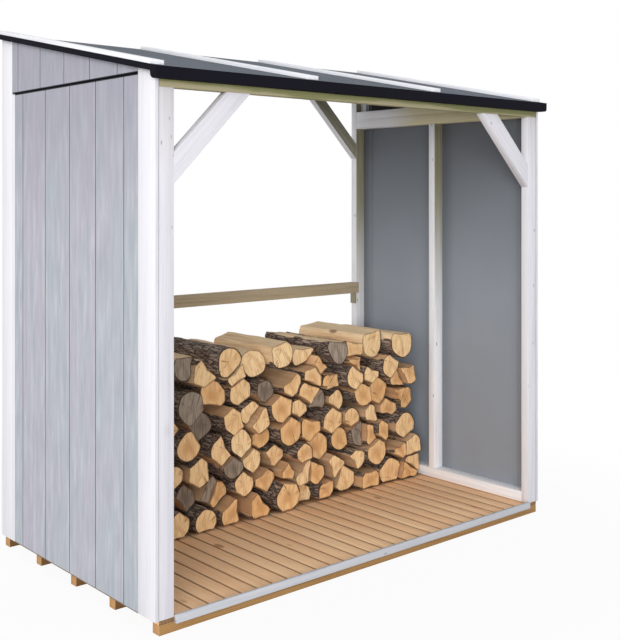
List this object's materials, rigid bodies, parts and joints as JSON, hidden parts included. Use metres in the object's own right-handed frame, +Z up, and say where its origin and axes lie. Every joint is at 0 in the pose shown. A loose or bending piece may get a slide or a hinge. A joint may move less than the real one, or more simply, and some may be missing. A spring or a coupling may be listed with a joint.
{
  "type": "log store",
  "caption": "Open-fronted timber log store with grey boarded sides, white frame, felted lean-to roof and a stack of split firewood.",
  "frame": {"origin": "on the ground, in the middle of the plan", "axes": "+X to the right along the open front, +Y from the front to the back, +Z up"},
  "size_m": [2.09, 1.233, 2.1214],
  "materials": {
    "white_timber": "white opaque paint on planed softwood",
    "stained_boards": "blue-grey stain that shows the grain",
    "treated_timber": "bare softwood with greenish treatment",
    "sawn_timber": "bare golden brown softwood",
    "deck_boards": "planed warm pine boards",
    "roof_felt": "dark grey mineral bitumen felt",
    "firewood": "split logs with bark and sawn ends"
  },
  "bodies": {
    "root": {"back_brace_left": "treated_timber", "back_brace_right": "treated_timber", "back_corner_board_left": "white_timber", "back_corner_board_right": "white_timber", "back_header": "treated_timber", "back_mid_rail": "treated_timber", "back_post_left": "white_timber", "back_post_right": "white_timber", "bottom_rail_left": "white_timber", "bottom_rail_right": "white_timber", "cover_strip_left": "white_timber", "cover_strip_right": "white_timber", "eave_batten": "sawn_timber", "firewood_course_1": "firewood", "firewood_course_2": "firewood", "firewood_course_3": "firewood", "firewood_course_4": "firewood", "firewood_course_5": "firewood", "firewood_course_6": "firewood", "firewood_course_7": "firewood", "firewood_course_8": "firewood", "floor_bearers": "sawn_timber", "floor_deck": "deck_boards", "front_brace_left": "white_timber", "front_brace_right": "white_timber", "front_corner_board_left": "white_timber", "front_corner_board_right": "white_timber", "front_header": "treated_timber", "front_post_left": "white_timber", "front_post_right": "white_timber", "front_sill": "white_timber", "gable_boards_left": "stained_boards", "gable_boards_right": "stained_boards", "gable_rail_left": "white_timber", "gable_rail_right": "white_timber", "gable_stud_left": "white_timber", "gable_stud_right": "white_timber", "gable_top_rail_left": "white_timber", "gable_top_rail_right": "white_timber", "middle_stud_left": "white_timber", "middle_stud_right": "white_timber", "rafters": "sawn_timber", "rail_cleats": "treated_timber", "roof_battens": "white_timber", "roof_boards": "sawn_timber", "roof_felt": "roof_felt", "top_rail_left": "white_timber", "top_rail_right": "white_timber", "wall_boards_left": "stained_boards", "wall_boards_right": "stained_boards"}
  },
  "joints": []
}
